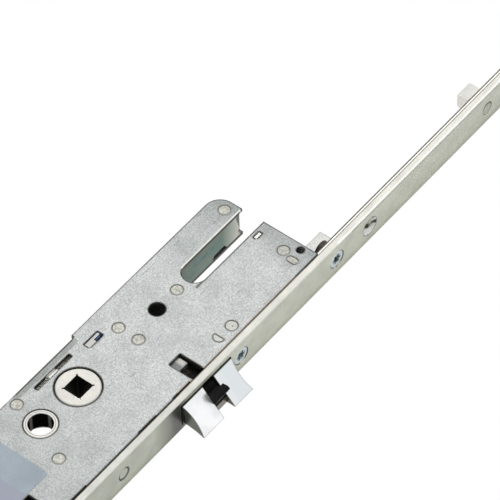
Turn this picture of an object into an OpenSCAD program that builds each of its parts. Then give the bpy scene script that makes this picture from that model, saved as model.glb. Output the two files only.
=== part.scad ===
// Key-driven multipoint door lock: lock case, long faceplate, drive rails and two hook boxes.
// It stands as it does in the door. X points out of the faceplate's front, Z runs up the
// faceplate, and the follower turns about the Y direction at height 0.

/* [Faceplate] */
// Width of the faceplate
face_w = 16; // [15.5:0.5:20]
// Thickness of the faceplate
face_t = 3; // [2.5:0.25:3.5]
// Length of the faceplate above the follower
face_up = 750; // [735:5:900]
// Length of the faceplate below the follower
face_down = 1020; // [1000:5:1200]
// Break on the faceplate's long edges
face_edge = 0.3; // [0.2:0.1:0.8]
// Radius of the holes for the door screws
fix_r = 2.4; // [2:0.1:2.6]
// Radius of the countersinks for the door screws
fix_sink_r = 4.25; // [4:0.05:4.4]

/* [Lock case] */
// Distance from the faceplate's front to the follower
backset = 35; // [35:1:45]
// Distance from the follower down to the cylinder
centres = 92; // [90:0.5:94]
// Thickness of the lock case
case_t = 15; // [15:0.1:15.4]
// Thickness of the case's steel sheet
sheet_t = 1.5; // [1.2:0.1:1.6]
// Depth of the case behind the follower
case_behind = 17.5; // [17:0.1:20]
// How far the case's lower rear edge is set in
rear_step = 1.3; // [0.8:0.1:1.4]
// Height of the step in the rear edge
rear_step_z = 17; // [15:0.5:20]
// Height of the case above the follower
case_up = 103.9; // [103:0.1:110]
// Depth of the case below the cylinder
case_below = 36; // [34:0.5:40]
// Corner radius of the case's rear lobe
lobe_r = 7; // [6:0.5:10]
// Width of the open slot in the upper case
slot_w = 10.4; // [9:0.2:11]
// Height of the round end's centre in the open slot
slot_z = 68.7; // [67:0.1:72]
// Radius of the plain hole above the follower
aux_r = 3.3; // [2.5:0.1:3.5]
// Height of the plain hole above the follower
aux_z = 46.1; // [45:0.1:48]

/* [Follower] */
// Radius of the follower's visible disc
hub_r = 8.65; // [8.4:0.01:9.2]
// Radius of the follower's flange inside the case
flange_r = 10.3; // [9.9:0.1:10.6]
// Width across the follower's square socket
square_w = 8.1; // [7:0.1:8.2]
// Turn of the follower with the handle pressed down
hub_turn = 35; // [25:1:38]
// Radius of the round tip on the latch arm
tip_r = 3; // [2.5:0.1:3.2]
// Radius of the return springs to the middle of the wire
spring_r = 2.4; // [2.2:0.1:2.5]
// Wire thickness of the return springs
spring_wire = 0.55; // [0.5:0.05:0.6]
// Turns in each return spring
spring_turns = 7; // [6:1:7]
// Outer radius of the handle screw bush
bush_r = 6.6; // [6:0.1:7]
// Bore radius of the handle screw bush
bush_bore_r = 4.95; // [4:0.05:5.2]
// Length of the handle screw bush
bush_len = 8.3; // [7:0.1:9]
// Depth of the handle screw bush below the follower
bush_drop = 21.5; // [21:0.1:22.5]

/* [Latch] */
// Height of the latch's lower side above the follower
latch_z = 17.2; // [17:0.1:18]
// Height of the latch from its lower to its upper side
latch_h = 29; // [28:0.1:29.2]
// Thickness of the latch
latch_w = 11.2; // [10.6:0.1:11.4]
// How far the latch stands out of the faceplate
latch_out = 10.4; // [9.5:0.1:11]
// Width of the gap for the plastic insert
insert_h = 6.6; // [6:0.1:7]

/* [Deadbolt] */
// Travel of the deadbolt, the rails and the drive plate
throw = 20; // [18:0.5:20]
// Height of the deadbolt
bolt_h = 24; // [22:0.5:24.5]
// Thickness of the deadbolt
bolt_w = 11; // [10:0.1:11.2]
// Distance from the cylinder up to the deadbolt's lower side
bolt_over_cyl = 17; // [17:0.1:18]
// Radius of the pin that drives the deadbolt
bolt_pin_r = 2.2; // [2:0.1:2.3]

/* [Drive rail] */
// Width of the rails
rail_w = 10.4; // [10.2:0.1:11]
// Thickness of the rails
rail_t = 2.3; // [2:0.1:2.4]
// Thickness of the drive plate in the case
plate_t = 2.5; // [2:0.1:2.5]
// Length of the upper rail above the upper hook's pivot
rail_over = 70; // [50:1:80]
// Length of the lower rail below the lower hook's pivot
rail_under = 95; // [90:1:100]
// Radius of the pegs that hold the rail guides
peg_r = 3; // [2.8:0.1:3.1]
// Width of a nylon rail guide
guide_w = 7.5; // [7:0.1:9]
// Height of a nylon rail guide
guide_h = 7.6; // [7:0.1:9]
// Depth of a nylon rail guide behind the rail
guide_d = 5.9; // [5:0.1:7]

/* [Hooks] */
// Height of the upper hook's pivot above the follower
hook_up = 590; // [585:5:600]
// Depth of the lower hook's pivot below the follower
hook_down = 770; // [760:5:790]
// Thickness of the hook blades
hook_t = 6; // [5:0.1:6.2]
// Distance from the hook's pivot to its tip
hook_reach = 46; // [42:0.5:46.5]
// Height of the claw above the hook's middle line
claw_h = 15; // [13:0.1:15.2]
// Half the width of the hook's blade
blade_half = 7; // [6:0.1:7.2]
// Radius of the hook's pivot pin
pivot_r = 3.5; // [3:0.1:4]
// Radius of the pin that turns the hook
hook_pin_r = 2.5; // [2.2:0.1:2.6]

/* [Hidden] */
$fn = 48;

// Gap between pieces that move past each other
gap = 0.3;
// Radial clearance of a pivot or journal in its bore
fit = 0.06;
// Radial clearance of a fixed pin or screw in its hole
seat = 0.04;
// Depth by which a cut runs past the face it goes through
past = 1;
// Chamfer on the ends of rivets, tenons and pegs
brk = 0.35;

// Places across the lock, from the faceplate inwards
back_x = -face_t;
hub_x = -backset;
rail_x1 = back_x - gap;
rail_x0 = rail_x1 - rail_t;
rear_x = hub_x - case_behind;
half_t = case_t / 2;
in_y = half_t - sheet_t;
plate_y1 = in_y - gap;
plate_y0 = plate_y1 - plate_t;
works_y0 = -in_y + gap;
works_y1 = plate_y0 - gap;
case_low = -centres - case_below;
cyl_z = -centres;

// Places of the latch and its pull
latch_top = latch_z + latch_h;
latch_throw = latch_out + 0.1;
latch_mid_z = latch_z + latch_h / 2;
latch_mid = latch_mid_z + 0.6;
arm_r = latch_throw / (2 * sin(hub_turn / 2));
tip_x = hub_x + arm_r * sin(hub_turn / 2);
hub_lane_x = hub_x + flange_r + 0.5;
lane_w = 6.5;
lane_x = hub_lane_x + lane_w;
latch_step_x = lane_x + gap + latch_throw + 0.1;
latch_rear_x = latch_step_x - 8.4;
tail_y1 = works_y0 + 2.4;
tail_z0 = latch_z + 2.3;
tail_z1 = latch_z + 9.8;
pull_x = tip_x - tip_r - 0.15;

// Places of the deadbolt and its lane
bolt_z0 = cyl_z + bolt_over_cyl;
bolt_z1 = bolt_z0 + bolt_h;
bolt_rear_x = -throw - 1.4;
bolt_lane_x = bolt_rear_x - gap - 0.3;
bolt_pin_x = bolt_lane_x - bolt_pin_r - 0.9;
bolt_pin_z = bolt_z0 + 5;
cam_r = 16.8;

// Places of the screws and lugs behind the faceplate
lug_x = -11.8;
upper_screw_z = 52.45;
upper_lug_z = [upper_screw_z - 5, upper_screw_z + 7.6];
peg_lug_z = -16.3;
low_screw_z = case_low + 13;
sleeve_z = case_up + 7.1;
csk_r = 4.2;
screw_r = 2;

// Places along the rails
rail_up0 = upper_lug_z[1] + 3;
rail_up1 = hook_up + rail_over;
rail_low1 = case_low - throw - 2;
rail_low0 = -hook_down - rail_under;
tab_x0 = -15;
tab_x1 = -10.2;
tab_top = case_up + 16;
tab_low = rail_low1 - 6.5;
finger_h = 4.4;
foot_x0 = hub_x + cam_r - 0.2;
foot_x1 = lug_x - gap - 0.1;

// Places in the hook boxes
pivot_x = -21.5;
hook_pin_x = -11.5;
pin_arm = hook_pin_x - pivot_x;
box_x0 = -34;
box_low = 72;
box_high = 34;
box_screws = [-63, 26];
boss_r = 6.5;

// Rail guides, three above the case and four below it, and the door screws between them
guide_up = [case_up + 103.1, hook_up - box_low - 33];
guide_down = [case_low - 112, box_high + 82 - hook_down];
guides_z = concat(
    [for (i = [0:2]) guide_up[0] + (guide_up[1] - guide_up[0]) * i / 2],
    [for (i = [0:3]) guide_down[0] + (guide_down[1] - guide_down[0]) * i / 3]
);
fix_z = [
    case_up + 27.6, (guides_z[0] + guides_z[1]) / 2, (guides_z[1] + guides_z[2]) / 2, face_up - 30,
    case_low - 62, (guides_z[3] + guides_z[4]) / 2, (guides_z[4] + guides_z[5]) / 2, 30 - face_down
];

// Places of the case rivets
rivets = [
    [hub_x - 10.2, case_up - 4.6], [hub_x, 57.9], [hub_x - 5.9, tail_z1 + 3.5],
    [hub_x + 3.6, tail_z1 + 3.7],
    [rear_x + 4.8, -20.1], [-19.5, -29.6], [rear_x + 6, -42], [rear_x + 6, case_low + 6],
    [hub_x + 5, case_low + 5.4]
];
rivet_r = 2.5;
rivet_body_r = 2.7;

// Round stud of the top guide
guide_stud = [tab_x0, case_up - 6.6];

// Tenons of the lower lug
low_tenons = [[-8, low_screw_z - 4], [-8, low_screw_z + 4]];

// A flat shape in the XZ plane given thickness from y0 to y1
module slab(y0, y1) {
    translate([0, y1, 0]) rotate([90, 0, 0]) linear_extrude(y1 - y0) children();
}

// A round bar along Y
module bar_y(x, z, r, y0, y1) {
    translate([x, y1, z]) rotate([90, 0, 0]) cylinder(r = r, h = y1 - y0);
}

// A round bar along Y with both ends chamfered by c
module stud(x, z, r, y0, y1, c) {
    run = y1 - y0;
    translate([x, y1, z]) rotate([90, 0, 0]) rotate_extrude() polygon([
        [0, 0], [r - c, 0], [r, c], [r, run - c], [r - c, run], [0, run]
    ]);
}

// A round bar along X, which may taper
module bar_x(x0, x1, y, z, r0, r1) {
    translate([x0, y, z]) rotate([0, 90, 0]) cylinder(r1 = r0, r2 = r1, h = x1 - x0);
}

// A box given by its corners
module block(x0, x1, y0, y1, z0, z1) {
    translate([x0, y0, z0]) cube([x1 - x0, y1 - y0, z1 - z0]);
}

// A rectangle in the XZ plane given by its corners
module pane(x0, x1, z0, z1) {
    translate([x0, z0]) square([x1 - x0, z1 - z0]);
}

// A round-ended slot between two points of the XZ plane
module slot(p, q, r) {
    run = norm(q - p);
    translate(p) circle(r = r);
    translate(q) circle(r = r);
    translate(p) rotate(atan2(q[1] - p[1], q[0] - p[0])) translate([0, -r]) square([run, 2 * r]);
}

// Outline of the lock case, set in by i
module case_outline(i) {
    slot_half = slot_w / 2 + i;
    difference() {
        union() {
            pane(rear_x + rear_step + i, back_x - i, case_low + i, rear_step_z + i);
            pane(rear_x + i, back_x - i, rear_step_z + i, slot_z);
            pane(rear_x + i, hub_x, slot_z - past, case_up - lobe_r);
            pane(rear_x + lobe_r, hub_x, slot_z - past, case_up - i);
            translate([rear_x + lobe_r, case_up - lobe_r]) circle(r = lobe_r - i);
            pane(hub_x, back_x - i, slot_z - past, case_up - i);
        }
        translate([hub_x, slot_z]) circle(r = slot_half);
        pane(hub_x - slot_half, hub_x + slot_half, slot_z, case_up + past);
    }
}

// Holes that go through both side sheets of the lock case
module case_holes() {
    translate([hub_x, 0]) circle(r = hub_r + 0.55);
    translate([hub_x, aux_z]) circle(r = aux_r);
    euro_hole();
    tab_window(0);
    translate([-10, case_up - 2.6]) circle(r = 1.6);
    for (p = rivets) translate(p) circle(r = rivet_r + seat);
    translate([-8, upper_screw_z + 4.55]) circle(r = rivet_r + seat);
    half_moon(seat);
    for (p = low_tenons) translate(p) circle(r = 1.5 + seat);
}

// Window beside the slot for the tab of its front wall, set in by i
module tab_window(i) {
    x = hub_x + slot_w / 2 + sheet_t;
    nook(x + i, x + 2 - i, case_up - 8.7 + i, case_up - 4.8 - i, 0.9 - i);
}

// Window above the follower's upper spring
module spring_window() {
    nook(hub_x - 11.2, hub_x - 8.1, spring_end + 2.8, spring_end + 10.9, 1);
}

// A rectangle with its lower front corner rounded
module nook(x0, x1, z0, z1, r) {
    pane(x0, x1 - r, z0, z1);
    pane(x0, x1, z0 + r, z1);
    translate([x1 - r, z0 + r]) circle(r = r);
}

// Profile hole for the cylinder
module euro_hole() {
    translate([hub_x, cyl_z]) circle(r = 8.7);
    translate([hub_x, cyl_z - 19.7]) circle(r = 5.1);
    pane(hub_x - 5.1, hub_x + 5.1, cyl_z - 19.7, cyl_z);
}

// Half-round tenon of the upper lug
module half_moon(grow) {
    intersection() {
        translate([-8.3, upper_screw_z - 2.6]) circle(r = 2.4 + grow);
        pane(-12, -4, upper_screw_z - 2.9 - 2.4, upper_screw_z - 2.2 + grow);
    }
}

module faceplate() color("#B9BAAF") {
    half = face_w / 2;
    difference() {
        translate([0, 0, -face_down]) linear_extrude(face_up + face_down) polygon([
            [back_x, -half], [-face_edge, -half], [0, face_edge - half],
            [0, half - face_edge], [-face_edge, half], [back_x, half]
        ]);
        face_hole(latch_w, latch_z, latch_top);
        face_hole(bolt_w, bolt_z0, bolt_z1);
        for (h = [hook_up, -hook_down]) {
            face_hole(hook_t, h - hook_reach + 1.5, h + blade_half + 0.5);
            for (s = box_screws) sunk_hole(h + s, screw_r + seat, csk_r);
        }
        for (z = [upper_screw_z, low_screw_z, sleeve_z]) sunk_hole(z, screw_r + seat, csk_r);
        for (z = fix_z) sunk_hole(z, fix_r, fix_sink_r);
        sunk_hole(cyl_z, 2.75, 4.8);
        for (z = concat(guides_z, peg_lug_z)) {
            bar_x(back_x - past, past, 0, z, peg_r + seat, peg_r + seat);
        }
    }
}

// An opening in the faceplate for a bolt, with the moving gap all round
module face_hole(w, z0, z1) {
    block(back_x - past, past, -w / 2 - gap, w / 2 + gap, z0 - gap, z1 + gap);
}

// A countersunk hole in the faceplate
module sunk_hole(z, r, sink_r) {
    bar_x(back_x - past, past, 0, z, r, r);
    bar_x(r - sink_r, 0, 0, z, r, sink_r);
    bar_x(0, past, 0, z, sink_r, sink_r);
}

module case_tray() color("#C5C7C5") {
    difference() {
        union() {
            slab(in_y, half_t) difference() {
                case_outline(0);
                case_holes();
                translate([hub_x, -bush_drop]) circle(r = 9.6);
            }
            slab(-in_y, in_y) difference() {
                case_outline(0);
                case_outline(sheet_t);
            }
        }
        // The slot's rear side and the lobe's front end are left to the passivated channel
        block(hub_x - slot_w / 2 - sheet_t - past / 10, hub_x, -in_y - past, in_y,
            slot_z - slot_w / 2 - sheet_t - past / 10, case_up + past);
        // Front openings for the lugs, the latch, the deadbolt and the rail
        front_gap(upper_lug_z[0] - seat, case_up);
        front_gap(latch_z - gap, latch_top + gap);
        front_gap(peg_lug_z - 6.5 - seat, peg_lug_z + 6.5 + seat);
        front_gap(bolt_z0 - gap, bolt_z1 + gap);
        front_gap(low_screw_z - 6 - seat, low_screw_z + 6 + seat);
        bar_x(back_x - sheet_t - past, back_x + past, 0, cyl_z, 2.75, 2.75);
        // Ways out for the two ends of the drive plate
        block(tab_x0 - gap, tab_x1 + gap, plate_y0 - gap, in_y, case_up - 2 * sheet_t, case_up + past);
        block(foot_x0 - gap, foot_x1 + gap, plate_y0 - gap, in_y, case_low - past,
            case_low + 2 * sheet_t);
        // Open stretches in the rear wall: beside the return springs and round a rivet
        block(rear_x - past, rear_x + rear_step + sheet_t + past, -in_y - past, 1, -10, 10);
        block(rear_x - past, rear_x + rear_step + sheet_t + past, -in_y - past, in_y,
            rivets[4][1] - 3.3, rivets[4][1] + 3.3);
        // Room for the rail in the top wall
        block(rail_x0 - gap, back_x + past, -in_y - past, in_y, case_up - 2 * sheet_t,
            case_up + past);
    }
    // Tongues bent in from the side sheet: seats of the three springs
    for (s = [-1, 1]) {
        end = s > 0 ? spring_end : -spring_low;
        translate([0, 0, end + s * (gap + sheet_t) / 2]) {
            block(spring_x - 3, spring_x + 3, works_y0, in_y, -sheet_t / 2, sheet_t / 2);
        }
    }
    block(latch_seat_x - sheet_t, latch_seat_x, works_y0, in_y, latch_spring_z - 3.6,
        latch_spring_z + 3.6);
    // Tab of the slot's front wall, whose end stands in the cover's window
    tab = slot_w / 2 + sheet_t / 2;
    slab(works_y0, works_y0 + 3) {
        pane(hub_x + tab, hub_x + tab + 2.4, case_up - 8.4, case_up - 5.1);
    }
    slab(-half_t + gap / 2, works_y0 + 1) tab_window(gap + 0.1);
}

// A gap in the tray's front wall
module front_gap(z0, z1) {
    block(back_x - sheet_t - past / 2, back_x + past, -in_y - past, in_y, z0, z1);
}

module case_cover() color("#C5C7C5") {
    slab(-half_t, -in_y) difference() {
        case_outline(0);
        case_holes();
        translate([hub_x, -bush_drop]) circle(r = bush_r + seat);
        // Window over the latch, open to the front
        pane(-15, back_x + past, latch_mid - 3.9, latch_mid + 2.7);
        // Window over the deadbolt, open to the front
        pane(-17.7, back_x + past, bolt_z1 - 5, bolt_z1 + 2.2);
        // Inspection window and the slot over the return springs
        spring_window();
        pane(hub_x - 12.7, hub_x - 10.9, -10.4, 9.7);
        // Shallow reliefs along the front edge
        for (z = [bolt_z1 + 13, 2, latch_z + 4.8]) pane(back_x - 1, back_x + past, z - 5, z + 5);
        pane(back_x - 2 * gap, back_x + past, case_low - past, case_up + past);
        translate(guide_stud) circle(r = rivet_r + seat);
        oblong_tenon(seat);
    }
    // Tongue left standing in the spring window, on a thin web at the back
    slab(gap - half_t, -in_y) tongue(0.35);
    slab(-in_y - 0.4, -in_y) tongue(-0.1);
}

// Bent tongue of the spring window, set in by i
module tongue(i) {
    x0 = hub_x - 11.2 + i;
    z0 = spring_end + 2.8 + i;
    pane(x0, hub_x - 8.1 - i, z0, spring_end + 7.4 - i);
    pane(x0, hub_x - 9.4 - i, z0, spring_end + 10.9 - i);
}

module case_rivets() color("#D2D0C6") for (p = rivets) {
    bar_y(p[0], p[1], rivet_body_r, -in_y, in_y);
    stud(p[0], p[1], rivet_r, -half_t, half_t, brk);
}

// Block under the cover that keeps the drive plate's tab against the far sheet
module top_guide() color("#D2D0C6") {
    z = guide_stud[1];
    block(guide_stud[0] - 3.4, rail_x0 - gap, -in_y, works_y1, z - 4.4, z + 2.2);
    stud(guide_stud[0], z, rivet_r, -half_t, past - in_y, brk);
    slab(brk - half_t, -in_y) oblong_tenon(0);
    slab(-half_t, brk - half_t) oblong_tenon(-brk);
}

// Oblong tenon of the top guide
module oblong_tenon(grow) {
    z = guide_stud[1] - 1.7;
    slot([-10.3, z], [-8.4, z], 1.6 + grow);
}

// Solid lugs between the side sheets, which carry the faceplate
module screw_lugs() color("#BFC2C4") {
    difference() {
        union() {
            block(lug_x, back_x, -in_y, in_y, upper_lug_z[0], upper_lug_z[1]);
            stud(-8, upper_screw_z + 4.55, rivet_r, -half_t, half_t, brk);
            slab(brk - half_t, half_t) half_moon(0);
            slab(-half_t, brk - half_t) half_moon(-brk);
        }
        bar_x(lug_x - past, back_x + past, 0, upper_screw_z, screw_r + seat, screw_r + seat);
    }
    block(lug_x, back_x, -in_y, in_y, peg_lug_z - 6.5, peg_lug_z + 6.5);
    bar_x(back_x - past, -brk, 0, peg_lug_z, peg_r, peg_r);
    bar_x(-brk, 0, 0, peg_lug_z, peg_r, peg_r - brk);
    difference() {
        union() {
            block(lug_x, back_x, -in_y, in_y, low_screw_z - 6, low_screw_z + 6);
            for (p = low_tenons) stud(p[0], p[1], 1.5, -half_t, half_t, brk);
        }
        bar_x(lug_x - past, back_x + past, 0, low_screw_z, screw_r + seat, screw_r + seat);
    }
}

// Lining of the open slot, folded from thin passivated sheet
module slot_channel() color("#7E938A") {
    side_x = hub_x - slot_w / 2;
    top = case_up;
    translate([side_x - 1.2, 0, 0]) rotate([90, 0, 90]) linear_extrude(1.2) polygon([
        [-in_y, slot_z - 1.5], [in_y, slot_z - 1.5],
        // Notch in the far edge
        [in_y, top - 18.7], [in_y - 2, top - 17.5], [in_y - 2.3, top - 11.5], [in_y, top - 9.8],
        // Worn end at the mouth of the slot
        [in_y, top - 1], [in_y - 1.6, top - 2.6], [in_y - 2.8, top - 2.6], [in_y - 4.2, top - 1.7],
        [-1.6, top - 2.8], [-4.8, top - 3.6], [-in_y, top - 3]
    ]);
    block(side_x - 4.2, side_x - 1.2, -in_y, 1.2 - in_y, slot_z + 4.5, top - 12);
    block(side_x - 4.2, side_x - 1.2, in_y - 1.2, in_y, slot_z + 0.5, slot_z + 8.5);
}

module handle_bush() color("#D9D9D2") difference() {
    stud(hub_x, -bush_drop, bush_r, -half_t, bush_len - half_t, brk);
    bar_y(hub_x, -bush_drop, bush_bore_r, -half_t - past, bush_len - half_t + past);
}

// Bearing rings seated on the inner faces of the two sheets
module follower_bearings() color("#3A3A38") for (s = [-1, 1]) {
    y0 = s > 0 ? in_y - 1.2 : -in_y;
    difference() {
        bar_y(hub_x, 0, hub_r + 0.8, y0, y0 + 1.2);
        bar_y(hub_x, 0, hub_r + fit, y0 - past, y0 + 1.2 + past);
    }
}

// Places of the return springs beside the follower's rear arm
spring_x = hub_x - 11.8;
spring_y = -in_y + gap + spring_r + spring_wire / 2;
rear_arm = 2.4;
spring_start = rear_arm + gap;
spring_end = 13.6;
spring_low = 15.3;
rear_arm_x = spring_x - 2;

module follower() color("#D3D1CA") {
    flange_y = in_y - 1.2 - gap;
    difference() {
        union() {
            stud(hub_x, 0, hub_r, -half_t, half_t, brk);
            // Flange beside the springs, which stand in front of it
            bar_y(hub_x, 0, flange_r, spring_y + spring_r + spring_wire / 2 + gap, flange_y);
            // Arm that pulls the latch back, with its round tip
            slab(tail_y1 + gap, works_y1 - gap) {
                translate([hub_x, 0]) rotate(-hub_turn / 2) polygon([
                    [-4, 0], [4.5, 0], [4.5, flange_r - 1.5], [tip_r - 0.6, arm_r],
                    [1.1 - tip_r, arm_r], [-4, flange_r - 1.5]
                ]);
            }
            bar_y(tip_x, arm_r * cos(hub_turn / 2), tip_r, tail_y1 + gap, works_y1 - gap);
            // Arm between the two return springs
            slab(-flange_y, -1) pane(rear_arm_x, hub_x, -rear_arm, rear_arm);
            slab(works_y0, -1) pane(rear_arm_x, hub_x - flange_r, -rear_arm, rear_arm);
        }
        block(hub_x - square_w / 2, hub_x + square_w / 2, -half_t - past, half_t + past,
            -square_w / 2, square_w / 2);
        // Narrow reliefs in the four corners
        for (a = [45, 135]) translate([hub_x, 0, 0]) rotate([0, a, 0]) {
            cube([square_w * sqrt(2) + 0.7, case_t + 2 * past, 0.7], center = true);
        }
    }
}

// Rings per turn and sides of the wound wire
ring_count = 8;
side_count = 6;

// One unbroken wound wire along Z, from z = 0 to z = run
module coil(r, wire, turns, run) {
    steps = ring_count * turns;
    rise = run - wire;
    points = [
        for (i = [0:steps]) for (j = [0:side_count - 1])
            let (a = 360 * i / ring_count, b = 360 * j / side_count, q = r + wire / 2 * cos(b))
            [q * cos(a), q * sin(a), wire / 2 + rise * i / steps + wire / 2 * sin(b)]
    ];
    skin = [
        for (i = [0:steps - 1]) for (j = [0:side_count - 1])
            let (k = (j + 1) % side_count, m = i * side_count, n = m + side_count)
            each [[m + j, m + k, n + k], [m + j, n + k, n + j]]
    ];
    ends = [
        for (j = [1:side_count - 2])
            let (m = steps * side_count) each [[0, j + 1, j], [m, m + j, m + j + 1]]
    ];
    polyhedron(points = points, faces = concat(skin, ends));
    echo("least gap between turns", rise / turns - wire);
}

module return_spring_upper() color("#8E9196") {
    translate([spring_x, spring_y, spring_start]) {
        coil(spring_r, spring_wire, spring_turns, spring_end - spring_start);
    }
}

module return_spring_lower() color("#8E9196") {
    translate([spring_x, spring_y, -spring_low]) {
        coil(spring_r, spring_wire, spring_turns, spring_low - spring_start);
    }
}

// Depth and radius of the hollows in the latch's two ends
scoop = 1.1;
scoop_r = 26;

module latch_head() color("#E6EAEE") {
    half = latch_w / 2;
    tip = [latch_out, half - 0.2];
    foot = [0.3, -half];
    middle = (tip + foot) / 2;
    z0 = latch_mid - insert_h / 2;
    z1 = latch_mid + insert_h / 2;
    difference() {
        union() {
            block(latch_rear_x, latch_step_x, -half, works_y1, latch_z, latch_top);
            translate([0, 0, latch_z]) linear_extrude(latch_h) polygon([
                [latch_step_x, -half], foot, tip, [latch_out, half], [latch_step_x, half]
            ]);
        }
        // Hollow ends of the run-up face
        for (s = [-1, 1]) intersection() {
            block(foot[0], latch_out + past, -half - past, half + past, latch_z - past,
                latch_top + past);
            translate([middle[0], middle[1], latch_mid_z + s * (latch_h / 2 + scoop_r - scoop)]) {
                rotate(atan2(foot[0] - tip[0], tip[1] - foot[1])) rotate([0, 90, 0]) {
                    cylinder(r = scoop_r, h = 4 * latch_w, center = true, $fn = 180);
                }
            }
        }
        // Gap for the plastic insert, with a thin web left at the back
        block(latch_rear_x - past, latch_out + past, -half - past, 2.2, z0, z1);
        block(6.5, latch_out + past, 2, half + past, z0, z1);
        // Recess and hole for the tail
        block(latch_rear_x - past, latch_rear_x + 7, -half - past, tail_y1 + seat, tail_z0 - seat,
            tail_z1 + seat);
        block(latch_rear_x - past, latch_rear_x + 5, -half - past, tail_y1 + seat, tail_z1,
            latch_mid);
        bar_y(latch_rear_x + 3.5, (tail_z0 + tail_z1) / 2, 1.5 + seat, -half - past, half + past);
    }
}

// Plastic insert, whose nose stands up between the two horns
module latch_insert() color("#151313") {
    z0 = latch_mid - insert_h / 2 + seat;
    z1 = latch_mid + insert_h / 2 - seat;
    translate([0, 0, z0]) linear_extrude(z1 - z0) polygon([
        [latch_rear_x + 6.5, -3.4], [0.8, -3.4], [2.4, -1.6], [4, -1.6], [4.8, -4.5],
        [7.2, -4.9], [8.3, -4], [6.2, 0.6], [6.2, 2.2 - seat], [latch_rear_x + 6.5, 2.2 - seat]
    ]);
}

module latch_tail() color("#C9C8BE") difference() {
    union() {
        block(pull_x - 5.5, latch_rear_x + 7 - seat, works_y0, tail_y1, tail_z0, tail_z1);
        // Bent-down hook that the follower's arm pulls
        block(pull_x - 5.5, pull_x, works_y0, works_y1, arm_r * cos(hub_turn / 2) - 1, tail_z1);
        // Upturned finger seen through the window
        block(latch_rear_x - 0.2, latch_rear_x + 4.4, works_y0, tail_y1, tail_z1, latch_mid + 2);
    }
    bar_y(latch_rear_x + 3.5, (tail_z0 + tail_z1) / 2, 1.5 + seat, works_y0 - past, tail_y1 + past);
}

module latch_rivet() color("#C9C8BE") {
    bar_y(latch_rear_x + 3.5, (tail_z0 + tail_z1) / 2, 1.5, works_y0, works_y1);
}

// Places of the latch's compression spring
latch_spring_z = latch_top - 5.7;
latch_seat_x = hub_x + 5;
latch_spring_y = -1.4;

module latch_spring() color("#8E9196") {
    run = latch_rear_x - latch_seat_x - gap;
    translate([latch_seat_x + gap / 2, latch_spring_y, latch_spring_z]) rotate([0, 90, 0]) {
        coil(2.8, 0.7, 8, run);
    }
}

// Plate in the lock case that joins both rails and is moved by the cylinder's cam
module drive_plate() color("#C3C6C8") {
    arc_end = acos((bolt_lane_x - 8.4 - hub_x) / cam_r);
    slab(plate_y0, plate_y1) difference() {
        polygon(concat(
            [
                // Upper tab with its finger to the rail
                [tab_x0, tab_top], [rail_x1, tab_top], [rail_x1, tab_top - finger_h],
                [tab_x1, tab_top - finger_h], [tab_x1, upper_lug_z[1] + 2],
                // Narrow lane behind the latch
                [lane_x, upper_lug_z[1] - 4], [lane_x, latch_z - throw - 1],
                [foot_x1, latch_z - throw - 5], [foot_x1, bolt_z1 + 5],
                // Lane behind the deadbolt
                [bolt_lane_x, bolt_z1], [bolt_lane_x, bolt_z0 - 1],
                // Foot beside the cylinder, with its finger to the lower rail
                [foot_x1, bolt_z0 - 1 + bolt_lane_x - foot_x1], [foot_x1, tab_low + finger_h],
                [rail_x1, tab_low + finger_h], [rail_x1, tab_low], [foot_x0, tab_low],
                // Two teeth with the notch for the cam between them
                [foot_x0, cyl_z - throw / 2 - 7], [foot_x0 - 3.4, cyl_z - throw / 2 - 6],
                [foot_x0 - 3.4, cyl_z - throw / 2 - 4], [foot_x0 + 1, cyl_z - throw / 2 - 3],
                [foot_x0 + 1, cyl_z - throw / 2 + 3], [foot_x0 - 3.4, cyl_z - throw / 2 + 4],
                [foot_x0 - 3.4, cyl_z - throw / 2 + 6], [foot_x0, cyl_z - throw / 2 + 7]
            ],
            // Clear of the cam's sweep
            [for (a = [4:(arc_end - 4) / 8:arc_end + 0.1])
                [hub_x + cam_r * cos(a), cyl_z + cam_r * sin(a)]],
            [
                [bolt_lane_x - 8.4, bolt_z1 - 1], [hub_lane_x - 0.7, bolt_z1 + 5],
                [hub_lane_x - 0.7, -33], [hub_lane_x, -32],
                [hub_lane_x, case_up - throw - 6], [tab_x0, case_up - throw - 2.5]
            ]
        ));
        // Guide slot round the case rivet
        slot([-19.5, -29.6], [-19.5, -29.6 - throw], rivet_body_r + gap);
        translate([bolt_pin_x, bolt_pin_z]) circle(r = bolt_pin_r + seat);
        // Window that lightens the upper half
        slot([-19.5, upper_lug_z[1] + 4], [-19.5, case_up - throw - 9], 2);
    }
}

module bolt_drive_pin() color("#AEB3B8") {
    bar_y(bolt_pin_x, bolt_pin_z, bolt_pin_r, works_y0, plate_y1);
}

// A rail from z0 to z1 with its windows, slots and ears for one hook
module rail(z0, z1, hook_z) {
    half = rail_w / 2;
    inner = hook_t / 2 + gap + 0.1;
    pin_z = hook_z - throw / 2;
    difference() {
        union() {
            block(rail_x0, rail_x1, -half, half, z0, z1);
            // Ears bent back from the window's edges
            for (s = [-1, 1]) {
                block(hook_pin_x - 2.8, rail_x0, s > 0 ? inner : -half, s > 0 ? half : -inner,
                    pin_z - 6, pin_z + 6);
            }
        }
        block(rail_x0 - past, rail_x1 + past, -inner, inner, hook_z - hook_reach - 6, hook_z - 2);
        bar_y(hook_pin_x, pin_z, hook_pin_r + seat, -half - past, half + past);
        for (z = concat(fix_z, guides_z, sleeve_z)) if (z > z0 - throw && z < z1 + peg_r) {
            rail_slot(z, peg_r + 0.25);
        }
        for (s = box_screws) rail_slot(hook_z + s, screw_r + 0.35);
    }
}

// A long slot through a rail, clear of a fixed screw or peg over the whole travel
module rail_slot(z, r) {
    bar_x(rail_x0 - past, rail_x1 + past, 0, z, r, r);
    bar_x(rail_x0 - past, rail_x1 + past, 0, z - throw, r, r);
    block(rail_x0 - past, rail_x1 + past, -r, r, z - throw, z);
}

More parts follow.
